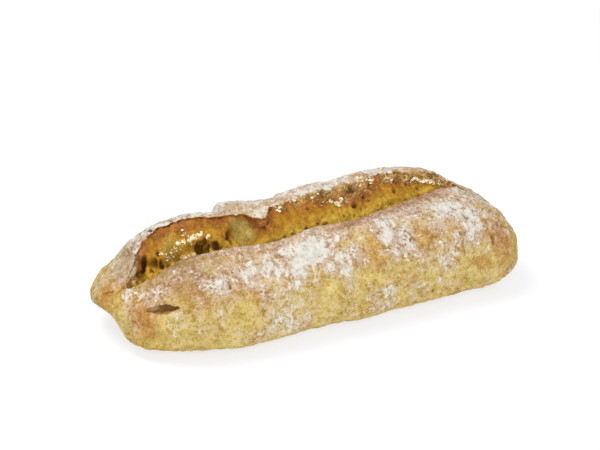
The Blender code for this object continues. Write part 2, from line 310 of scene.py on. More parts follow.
# How shapes are bent out of true: size of the noise, and how far it shifts them.
RELIEF_WARP, SLIT_WARP = (0.0024, 0.0011), (0.0022, 0.0010)
BAND_WARP, GOLD_WARP, FLOUR_WARP = (0.012, 0.003), (0.0050, 0.0020), (0.0060, 0.0030)

# Strands of dough with gaps between them, in the valley below the fold at the left end.
STRAND_SIZE, STRAND_DEPTH = 0.0021, 0.0026

# Small bubbles that opened at the surface: how many, and their smallest and largest radius.
TORN_PORES, TORN_PORE_RADII = 220, (0.00025, 0.00070)
CRUST_PORES, CRUST_PORE_RADII = 420, (0.00020, 0.00048)

# Reach of a pore in its radii, how high the freckles begin, and how much denser the lip has them.
PORE_EDGE = 1.6
FRECKLES_FROM_Z, LIP_FRECKLES = 0.003, 8

# Where a look comes in or goes out: the place where it starts to change, and the run over which it does.
# First along X:
RIGHT_FACE, LEFT_PART, END_WRINKLES = (-0.016, 0.012), (-0.034, 0.030), (0.050, 0.03)
STRANDS_END, VALLEY_END, LILAC_FROM = (-0.054, 0.008), (FOLD_END, 0.008), (-0.050, 0.030)
CAVE_END, FOLD_SHADOW_END, SLIT_SHADE_END = (-0.070, 0.006), (-0.060, 0.006), (-0.073, 0.005)
# Then along Y:
FRONT_PART, BUFF_BACK_Y, FLOURED_BACK_Y = (0.016, 0.010), (0.008, 0.008), (0.012, 0.008)
# Then along Z:
UPPER_CRUST, BUFF_BACK_Z, FLOURED_BACK_Z = (0.022, 0.014), (0.020, 0.014), (0.018, 0.016)
BROWN_BASE, BARE_FOOT = (0.0025, 0.002), (0.008, 0.006)
# Then up the torn face:
RIDGE_CALM = (0.86, 0.10)

# Stretches along X: where each starts and over which run, and where it ends and over which run.
LIP_EDGE_RUN = (0.004, 0.012, 0.072, 0.010)
TAN_RIM = (0.042, 0.006, 0.062, 0.008)
FLOURED_RIM = (-0.012, 0.008, 0.050, 0.008)
BARE_RIM = (0.044, 0.006, 0.062, 0.008)
CRUMB_RUN = (-0.016, 0.008, 0.074, 0.008)

# Places on the torn face in millimetres along X: centre, share of the climb and reach; painted shade at cave
# and tongue.
HOLLOW = (-61.5, 0.54, 6.0)
CAVE_SHADE = (-74.6, 0.63, 4.0)
TONGUE_SHADE = (-19.5, 0.70, 6.0)

# Colours, linear: what the crust and the torn dough are made of.
STRAW = (0.570, 0.435, 0.150)
GOLD = (0.500, 0.340, 0.078)
ORANGE = (0.430, 0.215, 0.058)
ROSE_BROWN = (0.440, 0.260, 0.150)
BACK_BUFF = (0.450, 0.330, 0.205)
BASE_BROWN = (0.380, 0.200, 0.070)
TORN_LOW = (0.455, 0.285, 0.036)
TORN_MIDDLE = (0.350, 0.163, 0.014)
TORN_TOP = (0.290, 0.105, 0.022)
TORN_DARK_AND_SHADE = (0.230, 0.105, 0.006)
VALLEY_YELLOW = (0.720, 0.410, 0.038)
HOLLOW_OLIVE = (0.370, 0.270, 0.065)
POCKET_OLIVE = (0.375, 0.268, 0.066)
KNOB_ROSE = (0.250, 0.095, 0.040)
SLIT_ROSE = (0.310, 0.155, 0.045)
CRAG_TAN = (0.470, 0.280, 0.095)
LIP_LILAC = (0.500, 0.350, 0.260)
LIP_BROWN = (0.420, 0.255, 0.115)
LIP_ROSE_AND_SHADOW = (0.330, 0.185, 0.105)
NOSE_BUFF = (0.440, 0.335, 0.220)
BARE_GOLD = (0.470, 0.280, 0.070)

# Bare golden patches and paler patches of the nose, in millimetres: centre and reach.
GOLD_PATCHES = (
    (21.0, -22.5, 34.0, 7.0),
    (19.0, -26.0, 29.5, 7.5),
    (43.8, -22.3, 32.4, 6.0),
    (70.5, -29.5, 19.5, 6.0),
)
NOSE_PATCHES = ((-82.0, 10.0, 31.0, 13.0), (-93.0, 12.0, 23.0, 7.0))

# Where the face turns brown on its way up: place along X, and share of the climb.
BROWN_FROM = (
    (-0.060, 0.74), (-0.040, 0.70), (-0.006, 0.68), (0.003, 0.60), (0.015, 0.53), (0.023, 0.47),
    (0.030, 0.58), (0.040, 0.62), (0.050, 0.60), (0.061, 0.50), (0.070, 0.42),
)

# Where the floury top of the ridge begins: place along X, and share of the climb.
RIDGE_TOP = (
    (-0.090, 0.50), (-0.083, 0.55), (-0.0785, 0.62), (-0.0755, 1.10), (-0.012, 1.10), (-0.004, 0.95),
    (0.015, 0.96), (0.030, 0.94), (0.046, 0.96), (0.052, 1.02), (0.058, 0.92), (0.070, 0.86),
)

# Grains of flour and curd of dough: place along X in millimetres, share of the climb, reach and how many.
GRAIN_CLUSTERS = (
    (-65.6, 0.55, 0.8, 4),
    (-63.6, 0.49, 1.0, 8),
    (-61.0, 0.49, 0.9, 7),
    (-59.4, 0.50, 0.8, 6),
    (-57.0, 0.52, 0.9, 8),
    (-54.6, 0.53, 1.0, 10),
    (-52.4, 0.53, 1.2, 14),
    (-50.4, 0.55, 1.2, 16),
    (-48.4, 0.56, 1.0, 12),
    (-46.6, 0.58, 0.7, 4),
    (-53.4, 0.64, 1.4, 5),
    (-56.4, 0.36, 1.3, 10),
    (-54.2, 0.35, 1.3, 10),
    (-51.5, 0.34, 1.2, 8),
    (-44.6, 0.50, 0.8, 4),
    (-11.0, 0.84, 2.4, 16),
    (-3.5, 0.84, 2.0, 12),
    (6.8, 0.84, 2.2, 18),
    (15.0, 0.56, 1.3, 16),
    (17.4, 0.60, 1.2, 12),
    (12.6, 0.62, 1.2, 6),
    (22.0, 0.86, 2.2, 12),
    (29.5, 0.82, 2.4, 14),
    (35.0, 0.82, 2.4, 22),
    (44.0, 0.84, 2.8, 10),
    (55.6, 0.68, 1.9, 16),
    (59.8, 0.59, 1.8, 20),
    (62.8, 0.53, 1.5, 16),
    (66.6, 0.50, 1.5, 8),
)
GRAIN_RADII, GRAIN_SUNK = (0.00030, 0.00076), 0.4
GRAIN_DARK, GRAIN_PALE = (0.640, 0.500, 0.230), (0.900, 0.830, 0.600)
CRUMB_COUNT, CRUMB_RADII, CRUMB_SUNK = 1000, (0.00022, 0.00060), 0.05
CRUMB_TOP = 0.95
CRUMB_DARK, CRUMB_PALE = (0.250, 0.115, 0.024), (0.600, 0.430, 0.180)
LUMP_ROUGHNESS, LUMP_STRETCH, LUMP_FLOUR = 0.40, (0.40, 1.50), -0.5

# Flour, and the painted shade and scorch of holes, in the shader, as linear colours.
FLOUR_WHITE = (0.600, 0.585, 0.520, 1.0)
FLOUR_HAZE = (0.530, 0.440, 0.370, 1.0)
FRECKLE = (0.260, 0.130, 0.055, 1.0)
SHADE_AND_SCORCH = (0.042, 0.014, 0.004, 1.0)
SPECK_WARMTH = (0.8, 1.0, 1.5)

# The shader's noises, from coarse to finest: scale, detail, roughness and stretch.
MOTTLING = (
    (260.0, 3.0, 0.60),
    (430.0, 3.0, 0.60, (1.0, 0.55, 0.55)),
    (700.0, 3.0, 0.65),
    (1500.0, 2.0, 0.60),
)

# How much each of those noises swings the light, the haze, the freckles, the heaps of flour, their white and
# the bumps.
LIGHT_SWING = (1.4, 0.0, 1.2, 0.9)
HAZE_SWING = (1.7, 0.0, 1.9, 1.4)
SPOT_SWING = (0.0, 0.0, 0.65, 0.35)
HEAP_SWING = (0.9, 2.2, 1.5, 0.9)
POWDER_SWING = (0.0, 0.7, 0.7, 0.0)
BUMP_SWING = (0.0, 0.5, 0.5, 0.3)
HAZE_FULL, HAZE_MOST = 0.75, 0.65
FRECKLE_RANGE = (0.47, 0.36)
HEAP_RANGE, HEAP_MOST = (0.50, 0.92), 0.88
SHADE_AND_SCORCH_MOST = 0.95
BUMP_DISTANCE = 0.0009

# Floor, surround and lamps: each lamp's name, place, size and power.
FLOOR_HALF = 3.0
FLOOR_COLOUR = (0.300, 0.303, 0.312, 1.0)
FLOOR_ROUGHNESS, FLOOR_GLOW = 0.9, 2.20
SURROUND_STRENGTH = 0.62
LAMPS = (
    ("key", (-0.28, 0.26, 0.80), 0.45, 4.6),
    ("fill", (-0.10, -0.75, 0.45), 0.8, 4.2),
)

# Camera: angles in degrees, lens and sensor in millimetres, distance and target in metres.
CAMERA_AZIMUTH, CAMERA_ELEVATION = -22.0, 30.0
CAMERA_LENS, CAMERA_SENSOR, CAMERA_DISTANCE = 85.0, 36.0, 0.63
CAMERA_TARGET = (0.001, 0.013, 0.030)


def along(values, x):
    """A smooth curve through station values: cubic between stations, level beyond the first and last."""
    place = min(max((x - STATION_START) / STATION_STEP, 0.0), len(values) - 1.0)
    left = min(int(place), len(values) - 2)
    t = place - left
    slopes = np.gradient(np.asarray(values))
    return (
        values[left] * (1 + 2 * t) * (1 - t) ** 2
        + values[left + 1] * t * t * (3 - 2 * t)
        + slopes[left] * t * (1 - t) ** 2
        - slopes[left + 1] * t * t * (1 - t)
    )


def ease(t):
    """0 below 0, 1 above 1, and smooth between."""
    t = np.clip(t, 0.0, 1.0)
    return t * t * (3 - 2 * t)


def rising(value, start, run):
    """0 up to the start, then 1 after the run."""
    return ease((value - start) / run)


def falling(value, start, run):
    """0 down to the start, then 1 a run below it."""
    return ease((start - value) / run)


def between(value, start, start_run, end, end_run):
    """1 between the start and the end, with its own run at each."""
    return rising(value, start, start_run) * falling(value, end, end_run)


def rounding(x, law):
    """1 along the body, falling to 0 at both tips."""
    left_length, right_length, power = law
    left = 1 - min((x + HALF_LENGTH) / left_length, 1.0)
    right = 1 - min((HALF_LENGTH - x) / right_length, 1.0)
    return (1 - left**power) ** (1 / power) * (1 - right**power) ** (1 / power)


def score_opening(x):
    """How far the score is open at x, from 0 to 1."""
    return ease((x - SCORE_START) / SCORE_OPENING) * ease((SCORE_END - x) / SCORE_CLOSING)


def lattice_slopes(cells, seed):
    """A fixed random slope for each cell corner of a lattice."""
    mixed = cells @ np.array([73856093, 19349663, 83492791]) + seed * 2654435761
    mixed = (mixed ^ (mixed >> 13)) * 1274126177 & 0xFFFFFFFF
    parts = np.stack([mixed & 1023, (mixed >> 10) & 1023, (mixed >> 20) & 1023], axis=-1)
    return parts / 511.5 - 1


def noise(points, size, seed):
    """Smooth random values between about -1 and 1 that change over the given size."""
    place = np.asarray(points) / size
    cells = np.floor(place).astype(np.int64)
    inside = place - cells
    blend = inside**3 * (inside * (inside * 6 - 15) + 10)
    total = np.zeros(len(place))
    for corner in np.ndindex(2, 2, 2):
        weight = np.prod(np.where(corner, blend, 1 - blend), axis=1)
        slopes = lattice_slopes(cells + np.array(corner), seed)
        total += weight * np.sum(slopes * (inside - corner), axis=1)
    return total * 1.3


def layered(points, size, seed, layers=3, falloff=0.5):
    """Noise with finer and fainter copies of itself added."""
    return sum(falloff**i * noise(points, size * 0.5**i, seed + i) for i in range(layers))


def ridged(points, size, seed, layers=3):
    """Noise folded into sharp crests, from about -1 in its hollows to 1 on its crests."""
    crests = [1 - 3 * np.abs(noise(points, size * 0.5**i, seed + i)) for i in range(layers)]
    return sum(0.5**i * crest for i, crest in enumerate(crests)) / 1.5


def tear(x):
    """How far the ear's edge reaches forward of its line at x."""
    waves = sum(math.sin(2 * math.pi * x / length + length * 900) for length in TEAR_WAVELENGTHS)
    tongue = ease(1 - abs(x - TONGUE_X) / TONGUE_HALF_WIDTH)
    ragged = layered(np.array([[x, 0.0, 0.0]]), FINE_TEAR_SIZE, 5)[0]
    return TEAR_REACH * waves / len(TEAR_WAVELENGTHS) + TONGUE_REACH * tongue + FINE_TEAR_REACH * ragged


def side_form(x, side):
    """Half width and roundness at x, of the front where the side is below 0, else of the back."""
    return (along(FRONT_WIDTH, x), FRONT_CURVE) if side < 0 else (along(BACK_WIDTH, x), BACK_CURVE)


def crown(x, y, height):
    """The height of the closed crust at x over y."""
    width, curve = side_form(x, y)
    share = min(abs(y) / width, 1.0)
    return WIDEST_Z + (height - WIDEST_Z) * (1 - share**curve) ** (1 / curve)


def flank(x, side, top_y, height, t):
    """Points (y, z) from the middle of the base (t = 0) round one side to the crown over top_y (t = 1)."""
    width, curve = side_form(x, side)
    share = min(max(side * top_y / width, -SHARE_LIMIT), SHARE_LIMIT)
    angle = t * (math.pi - math.copysign(math.asin(abs(share) ** (curve / 2)), share))
    low = angle < math.pi / 2
    power = np.where(low, BASE_CURVE, curve)
    reach = np.where(low, WIDEST_Z, height - WIDEST_Z)
    sine, cosine = np.sin(angle), np.cos(angle)
    y = side * width * np.sign(sine) * np.abs(sine) ** (2 / power)
    z = WIDEST_Z - reach * np.sign(cosine) * np.abs(cosine) ** (2 / power)
    return np.stack([y, z], axis=1)


def bezier(a, b, c, t):
    """Points on a curve from a to c that leans towards b."""
    t = t[:, None]
    return a * (1 - t) ** 2 + 2 * b * t * (1 - t) + c * t * t


def fold_rise(x, share):
    """How far the fold pushes the face out at x, at each share of the way up it."""
    fade = ease((x - FOLD_START) / FOLD_FADE) * ease((FOLD_END - x) / FOLD_FADE)
    line = np.interp(x, *zip(*FOLD_LINE))
    return FOLD_HEIGHT * fade * (ease((share - line) / FOLD_WIDTH + 0.5) - 0.5) * np.sin(math.pi * share)


def steps(count):
    """Evenly spaced shares from 0 up to but not including 1."""
    return np.arange(count) / count


def section(x):
    """The ring at x before it is drawn in: points (y, z) from under the base, round the front, and back."""
    opening = score_opening(x)
    front_height = along(FRONT_CROWN, x)
    back_height = front_height + opening * along(EAR_RISE, x)
    lip_y = along(LIP_Y, x)
    ear_y = lip_y + (along(EAR_Y, x) - tear(x) - lip_y) * opening

    lip = np.array([lip_y, crown(x, lip_y, front_height)])
    ear = np.array([ear_y - EAR_OVERHANG * opening, crown(x, ear_y, back_height)])
    groove = lip + opening * np.array([GROOVE_SETBACK, -along(GROOVE_DEPTH, x)])
    under = np.array([ear_y, ear[1] - EAR_THICKNESS * opening])
    edge = lip + opening * np.array([GROOVE_SETBACK, 0.0])
    bulge = (groove + under) / 2 + opening * np.array([-FACE_BULGE, FACE_BULGE])

    front = flank(x, -1, lip_y, front_height, steps(FLANK_POINTS) ** UNDERSIDE_SPARING)
    drop = bezier(lip, edge, groove, steps(GROOVE_POINTS))
    face = bezier(groove, bulge, under, steps(FACE_POINTS))
    slope = under - groove
    normal = np.array([-slope[1], slope[0]]) / (np.linalg.norm(slope) + EAR_THICKNESS)
    face = face + normal * fold_rise(x, steps(FACE_POINTS))[:, None]
    rim = bezier(under, (under + ear) / 2, ear, steps(EAR_POINTS))
    back = flank(x, 1, ear_y, back_height, (1 - steps(BACK_POINTS)) ** UNDERSIDE_SPARING)
    back[0] = ear
    return np.concatenate([front, drop, face, rim, back])


def drawn_in(x, ring):
    """The ring pulled towards the line between the tips, as points (x, y, z)."""
    tip_y = LEFT_TIP_Y + (RIGHT_TIP_Y - LEFT_TIP_Y) * (x + HALF_LENGTH) / (2 * HALF_LENGTH)
    y, z = ring[:, 0], ring[:, 1]
    sideways = np.where(y < tip_y, rounding(x, FRONT_ROUNDING), rounding(x, BACK_ROUNDING))
    upright = np.where(z > TIP_Z, rounding(x, TOP_ROUNDING), rounding(x, BASE_ROUNDING))
    y = tip_y + (y - tip_y) * sideways
    z = TIP_Z + (z - TIP_Z) * upright
    return np.stack([x - END_SKEW * y, y, z], axis=1)


def beside(points, start, end):
    """How far along the line between two places each point lies, from 0 to 1, and its offset from it."""
    run = np.subtract(end, start)
    share = np.clip(((points - start) @ run) / (run @ run), 0, 1)
    return share, points - start - share[:, None] * run


def slit_shape(points):
    """1 along the middle of the burst blister on the front flank, falling to 0 round it."""
    share, aside = beside(points, SLIT_START, SLIT_END)
    away = np.linalg.norm(aside, axis=1)
    half_width = SLIT_HALF_WIDTH * (1 - 0.7 * (2 * share - 1) ** 2)
    return ease(1.2 * (1 - away / half_width))


def pushed(points):
    """The points moved by the slow unevenness, the swellings, the shelves and the slit."""
    x, y, z = points.T
    radial = np.stack([np.zeros_like(x), y, z - TIP_Z], axis=1)
    radial /= np.linalg.norm(radial, axis=1, keepdims=True) + HALF_LENGTH / 100
    turn = np.arctan2(y, z - TIP_Z)
    uneven = sum(
        size * np.sin(2 * math.pi * x / length + phase + waves * turn)
        for length, waves, phase, size in UNEVENNESS
    )
    moved = points + radial * uneven[:, None]

    for centre, reach, push, steepness in SWELLINGS:
        away = np.linalg.norm((points - centre) / reach, axis=1)
        moved += ease(steepness * (1 - away))[:, None] * np.array(push)

    for start, end, middle, half_width, rise, loss in SHELVES:
        inside = ease((x - start) / SHELF_EDGE) * ease((end - x) / SHELF_EDGE)
        inside *= ease((half_width - np.abs(y - middle)) / SHELF_EDGE) * (z > SHELF_LOWEST_Z)
        moved[:, 2] += rise * inside * (1 - loss * (x - start) / (end - start))

    moved -= radial * (SLIT_DEPTH * slit_shape(points))[:, None]
    moved[:, 2] -= BASE_TRIM
    return moved


def ring_places(count):
    """Places along X, closer together towards the tips, without the tips themselves."""
    t = np.linspace(-1, 1, count + 2)[1:-1]
    return HALF_LENGTH * ((1 - END_CROWDING) * t + END_CROWDING * np.sin(math.pi / 2 * t))


def skin_grid():
    """The rings of the skin as an array of shape (rings, points, 3), and the two tips."""
    rings = np.array([drawn_in(x, section(x)) for x in ring_places(RINGS)])
    ends = ((-1, LEFT_TIP_Y), (1, RIGHT_TIP_Y))
    tips = np.array([(side * HALF_LENGTH - END_SKEW * y, y, TIP_Z) for side, y in ends])
    return pushed(rings.reshape(-1, 3)).reshape(rings.shape), pushed(tips)


def outward(grid):
    """The outward direction at each point of the grid."""
    round_ring = np.roll(grid, -1, axis=1) - np.roll(grid, 1, axis=1)
    along_roll = np.gradient(grid, axis=0)
    normal = np.cross(round_ring, along_roll)
    normal /= np.linalg.norm(normal, axis=2, keepdims=True) + 1e-12
    middle = grid.mean(axis=1, keepdims=True)
    facing = np.sign(np.sum(normal * (grid - middle)))
    return normal * facing


def zone_masks():
    """For each point of a ring: torn or not, how far up the torn face, and nearness to the ear and lip."""
    first = FLANK_POINTS
    last = FLANK_POINTS + GROOVE_POINTS + FACE_POINTS + EAR_POINTS
    place = np.arange(last + BACK_POINTS)
    torn = ease((place - first) / TORN_EDGE) * (place < last)
    climb = np.concatenate([np.zeros(first), np.linspace(0, 1, last - first), np.ones(BACK_POINTS)])
    below = ease(1 - (last - place) / EAR_BAND_BELOW)
    behind = ease(1 - (place - last) / EAR_BAND_BEHIND)
    rim = np.where(place < last, below, behind)
    lip = ease(1 - np.abs(place - first) / LIP_BAND)
    return torn, climb, rim, lip


def near(points, centre, reach):
    """1 at the centre, falling to 0 at the reach, both in millimetres."""
    away = np.linalg.norm(points - np.array(centre) * MM, axis=-1) / (reach * MM)
    return ease(1 - away)


def on_face(x, climb, centre, height, reach):
    """1 at a place on the torn face, falling to 0 at the reach, with centre and reach in millimetres."""
    away = np.hypot(x - centre * MM, (climb - height) * CLIMB_LENGTH) / (reach * MM)
    return ease(1 - away)


def crease_shape(points, start, end, half_width):
    """1 along the line between two places, falling to 0 at the half width."""
    aside = beside(points, np.array(start) * MM, np.array(end) * MM)[1]
    return ease(1 - np.linalg.norm(aside, axis=1) / (half_width * MM))


def warped(points, size, reach, seed):
    """The points shifted by noise, so that round shapes measured from them come out irregular."""
    return points + reach * np.stack([noise(points, size, seed + i) for i in range(3)], axis=1)


def bands(points, seed):
    """Soft bands that run round the roll's section, about 0 on average."""
    return layered(warped(points, *BAND_WARP, seed + 50) * ROUND_BANDS, BAND_SIZE, seed, 2)


def pores(points, chances, count, radii, seed):
    """Depth of many small round pores, in metres, scattered over the points by their chances."""
    rng = np.random.default_rng(seed)
    centres = points[rng.choice(len(points), count, replace=False, p=chances / chances.sum())]
    depth = np.zeros(len(points))
    for centre, radius in zip(centres, rng.uniform(*radii, count)):
        close = np.flatnonzero(np.abs(points[:, 0] - centre[0]) < 2 * radius)
        away = np.linalg.norm(points[close] - centre, axis=1) / radius
        depth[close] = np.maximum(depth[close], radius * ease(PORE_EDGE - away))
    return depth


def slit_opening(points):
    """Inside the burst blister on the front flank: 1 between its ragged edges, and how high between them."""
    bent = warped(points, *SLIT_WARP, 95) + (0, 0, BASE_TRIM)
    run = np.subtract(SLIT_END, SLIT_START)
    middle = np.add(SLIT_START, SLIT_END) / 2 - (0, 0, TIP_Z)
    outwards = np.array([0.0, middle[1], middle[2]]) / np.hypot(middle[1], middle[2])
    upwards = np.cross(run, outwards) / np.linalg.norm(run)
    upwards = upwards * np.sign(upwards[2])
    share, aside = beside(bent, SLIT_START, SLIT_END)
    deep = aside @ outwards
    aside = aside - deep[:, None] * outwards
    half_width = SLIT_HALF_WIDTH * np.maximum(1.1 - (2 * share - 1.1) ** 2, 0.15)
    shape = ease(1.2 * (1 - np.linalg.norm(aside, axis=1) / half_width))
    return rising(shape, 0.34, 0.25) * (np.abs(deep) < SLIT_SEEN_DEPTH), aside @ upwards / half_width


def fold_climb(x):
    """How far up the torn face the fold's line lies at x."""
    return CLIMB_OF_FACE + CLIMB_SPAN * np.interp(x, *zip(*FOLD_LINE))


def brown_climb(x):
    """How far up the torn face its brown band begins at x."""
    return np.interp(x, *zip(*BROWN_FROM))


def crust_relief(points, crust):
    """Swells, wrinkles, grain and crackle of the crust."""
    upright = points * UPRIGHT_RUN
    ends = rising(points[:, 0], *END_WRINKLES)
    height = CRUST_SWELL * layered(points, CRUST_SWELL_SIZE, 11, 2)
    height += crust * CRUST_WRINKLE * layered(upright, CRUST_WRINKLE_SIZE, 21)
    height += crust * CRUST_GRAIN * layered(points, CRUST_GRAIN_SIZE, 31, 2)
    height += crust * CRACKLE * ridged(points * CRACKLE_RUN, CRACKLE_SIZE, 35, 2)
    return height + crust * END_WRINKLE * ends * ridged(upright, CRUST_WRINKLE_SIZE, 41, 2)


def torn_relief(points, torn, climb, rim):
    """Crags, grain and streaks of the torn dough, and the crags along the ear's edge."""
    right = rising(points[:, 0], *RIGHT_FACE)
    craggy = rim * (0.25 + 0.75 * right) * (0.4 + 0.6 * torn) * (1 - 0.6 * rising(climb, *RIDGE_CALM))
    height = torn * TORN_CRAG * ridged(points, TORN_CRAG_SIZE, 51, 3) * (0.6 + 0.4 * right)
    height += torn * TORN_GRAIN * layered(points, TORN_GRAIN_SIZE, 61, 2)
    height += torn * STREAK * layered(points * ALONG_SECTION, STREAK_SIZE, 71, 2)
    return height + craggy * RIM_CRAG * ridged(points, RIM_CRAG_SIZE, 81, 3)


def strand_gaps(points, torn, climb):
    """1 in the gaps between the strands of dough below the fold, 0 on the strands and elsewhere."""
    x = points[:, 0]
    low = falling(climb, fold_climb(x), 0.08) * rising(climb, 0.10, 0.10)
    gaps = torn * low * falling(x, *STRANDS_END)
    return gaps * rising(noise(points * ALONG_SECTION, STRAND_SIZE, 111), 0.05, 0.30)


def relief(points, torn, climb, rim, lip):
    """How far each point stands out of the smooth form, and how dark it is: painted shade and scorch."""
    x, y, z = points.T
    bent = warped(points, *RELIEF_WARP, 91)
    bent_climb = climb + (bent[:, 1] - y) / CLIMB_LENGTH
    height = crust_relief(points, 1 - torn) + torn_relief(points, torn, climb, rim)
    gaps = strand_gaps(points, torn, climb)
    height -= STRAND_DEPTH * gaps
    # Painted shade in the gaps between the strands.
    shade_and_scorch = 0.9 * gaps

    for centre, share, radius, rise in FACE_KNOBS:
        height += rise * MM * torn * on_face(bent[:, 0], bent_climb, centre, share, radius * SPREAD)
    for centre, share, radius, depth, shade_and_burn in FACE_HOLES:
        shape = torn * on_face(bent[:, 0], bent_climb, centre, share, radius * SPREAD)
        height -= depth * MM * shape
        # Painted shade, with scorch, in each hole of the torn face.
        shade_and_scorch = np.maximum(shade_and_scorch, shade_and_burn * ease(shape * 1.7 - 0.1))
    centre, share, reach, depth = POCKET
    height -= depth * MM * torn * ease(2.5 * on_face(x, climb, centre, share, reach))
    for *centre, radius, depth, shade_and_burn in CRUST_HOLES:
        shape = near(bent, centre, radius * SPREAD)
        height -= depth * MM * shape
        # Painted shade, with scorch, in each pit of the crust.
        shade_and_scorch = np.maximum(shade_and_scorch, shade_and_burn * ease(shape * 1.5 - 0.1))
    for start, end, half_width, depth in CREASES:
        shape = crease_shape(bent, start, end, half_width * 1.1)
        height -= depth * MM * shape
        # Painted shade along each crease.
        shade_and_scorch = np.maximum(shade_and_scorch, CREASE_SHADE * shape)

    likely = 0.15 + falling(climb, 0.45, 0.3) + 0.8 * rising(climb, 0.55, 0.2) * rising(x, *RIGHT_FACE)
    bubbles = pores(points, torn * likely, TORN_PORES, TORN_PORE_RADII, 101)
    likely = (1 - torn) * (z > FRECKLES_FROM_Z) * (1 + LIP_FRECKLES * lip)
    freckles = pores(points, likely, CRUST_PORES, CRUST_PORE_RADII, 102)
    height -= bubbles + 0.5 * freckles
    # Painted shade, with scorch, in the bubbles and freckles.
    shade_and_scorch = np.maximum(shade_and_scorch, 0.7 * ease(bubbles / TORN_PORE_RADII[1] * 1.4))
    shade_and_scorch = np.maximum(shade_and_scorch, 0.45 * ease(freckles / CRUST_PORE_RADII[1]))
    slit, high = slit_opening(points)
    height -= SLIT_HOLLOW * slit * ease(high + 0.5)
    # Painted shade in the slit: under its overhanging upper edge and towards its left tip.
    slit_shade = 0.05 + 0.60 * ease(high + 0.1) + 0.55 * falling(x, *SLIT_SHADE_END)
    return height, np.maximum(shade_and_scorch, slit * slit_shade)


def ridge_top(points, climb):
    """1 on the floury strip along the top of the ridge."""
    start = np.interp(points[:, 0], *zip(*RIDGE_TOP))
    return ease((climb - start + 0.10 * noise(points, 0.0030, 206)) / 0.05)


def mixed(a, b, share):
    """Colour a moved towards colour b by the share."""
    share = np.clip(share, 0, 1)[:, None]
    return np.asarray(a) * (1 - share) + np.asarray(b) * share


def painted(colour, *coats):
    """The colour with each coat laid over it in turn: a coat is a colour and its share."""
    for coat, share in coats:
        colour = mixed(colour, coat, share)
    return colour


def lip_edge_bare_and_shaded(x, lip):
    """1 on the bare edge of the lip along the right half of the score, darker as bare crust and as a painted
    shadow line.
    """
    return rising(lip, 0.45, 0.45) * between(x, *LIP_EDGE_RUN)


def crust_tints(points, rim, lip, broad, patchy):
    """The colour of the baked crust below its flour."""
    x, y, z = points.T
    upper = rising(z, *UPPER_CRUST)
    bake = 0.30 * upper + 0.30 * broad + 0.15 * patchy
    for *centre, reach, amount in BAKED_PATCHES:
        bake = bake + amount * near(points, centre, reach * SPREAD)
    bake = bake + 0.35 * bands(points, 208)
    bent = warped(points, *GOLD_WARP, 401)
    lip_tint = mixed(LIP_BROWN, LIP_LILAC, rising(x, *LILAC_FROM))
    rosy = 0.85 + 0.5 * patchy + 0.5 * noise(points, 0.0022, 209)
    tan = 0.4 + 0.60 * between(x, *TAN_RIM) + 0.8 * noise(points, 0.0035, 203)
    crust = painted(
        mixed(STRAW, GOLD, 0.45 + 1.2 * patchy),
        (ORANGE, bake),
        (ROSE_BROWN, upper * (y < 0) * (0.50 + 0.6 * broad + 0.5 * patchy)),
        (ROSE_BROWN, upper * (y > 0) * (0.30 + 0.6 * broad)),
        (BACK_BUFF, rising(y, *BUFF_BACK_Y) * rising(z, *BUFF_BACK_Z) * 0.8),
        *((NOSE_BUFF, near(points, centre, reach)) for *centre, reach in NOSE_PATCHES),
        *((BARE_GOLD, 1.4 * near(bent, centre, reach)) for *centre, reach in GOLD_PATCHES),
        (lip_tint, 0.8 * lip),
        # Rose-brown on the bare lip edge, partly a painted shadow line below the torn face.
        (LIP_ROSE_AND_SHADOW, rosy * lip_edge_bare_and_shaded(x, lip)),
        (CRAG_TAN, 1.3 * rim * tan),
    )
    crust = crust * (1 - 0.26 * upper * falling(x, *LEFT_PART))[:, None]
    return painted(crust, (SLIT_ROSE, slit_opening(points)[0]), (BASE_BROWN, falling(z, *BROWN_BASE)))


def torn_tints(points, climb, broad, patchy):
    """The colour of the torn dough: golden low down, baked brown towards the ear, with painted shade in its
    hollows.
    """
    x = points[:, 0]
    bent_x = x + 0.0012 * noise(points, 0.0030, 204)
    bent_climb = climb + 0.06 * noise(points, 0.0030, 205)
    level = climb + 0.16 * patchy + 0.10 * noise(points, 0.0018, 201)
    fold, brown = fold_climb(x), brown_climb(x)
    below = falling(climb, fold, 0.10) * falling(x, *VALLEY_END)
    # Darker patches of dough in the valley, and painted shade towards the cave at the left end.
    deep = 0.15 * rising(patchy, -0.1, 0.3) + 0.5 * falling(x, *CAVE_END)
    # Painted shadow along a line just below the fold.
    fold_shadow = ease(1 - np.abs(climb - fold + 0.05) / 0.05) * falling(x, *FOLD_SHADOW_END)
    knob, knob_share, knob_radius, _ = FACE_KNOBS[0]
    pocket, pocket_share, pocket_reach, _ = POCKET

    def spot(centre, share, reach):
        """1 at a place on the bent face, falling to 0 at the reach."""
        return on_face(bent_x, bent_climb, centre, share, reach)

    dough = painted(
        mixed(TORN_LOW, TORN_MIDDLE, rising(level, 0.15, 0.40) + 0.5 * broad),
        (VALLEY_YELLOW, 0.8 * below),
        # Darker patches, and painted shade towards the cave.
        (TORN_DARK_AND_SHADE, below * deep),
        # Painted shadow below the fold.
        (TORN_DARK_AND_SHADE, 0.8 * fold_shadow),
        (HOLLOW_OLIVE, 0.7 * spot(*HOLLOW)),
        (TORN_TOP, rising(level, brown - 0.08, 0.16)),
        (CRAG_TAN, 0.8 * rising(x, *RIGHT_FACE) * rising(level, brown + 0.12, 0.14)),
        (KNOB_ROSE, 1.6 * spot(knob, knob_share, knob_radius * SPREAD)),
        # Painted shade in the cave.
        (TORN_DARK_AND_SHADE, 1.4 * spot(*CAVE_SHADE)),
        # Painted shade under the tongue.
        (TORN_TOP, 1.5 * spot(*TONGUE_SHADE)),
        (POCKET_OLIVE, 0.9 * ease(2.0 * spot(pocket, pocket_share, pocket_reach) - 0.1)),
        # Painted shade at the pocket's left rim.
        (TORN_DARK_AND_SHADE, 0.7 * spot(pocket - 5.6, pocket_share, 4.0)),
    )
    streaks = noise(points * ALONG_SECTION, 0.0016, 202)
    return dough * (1 + 0.34 * streaks[:, None])


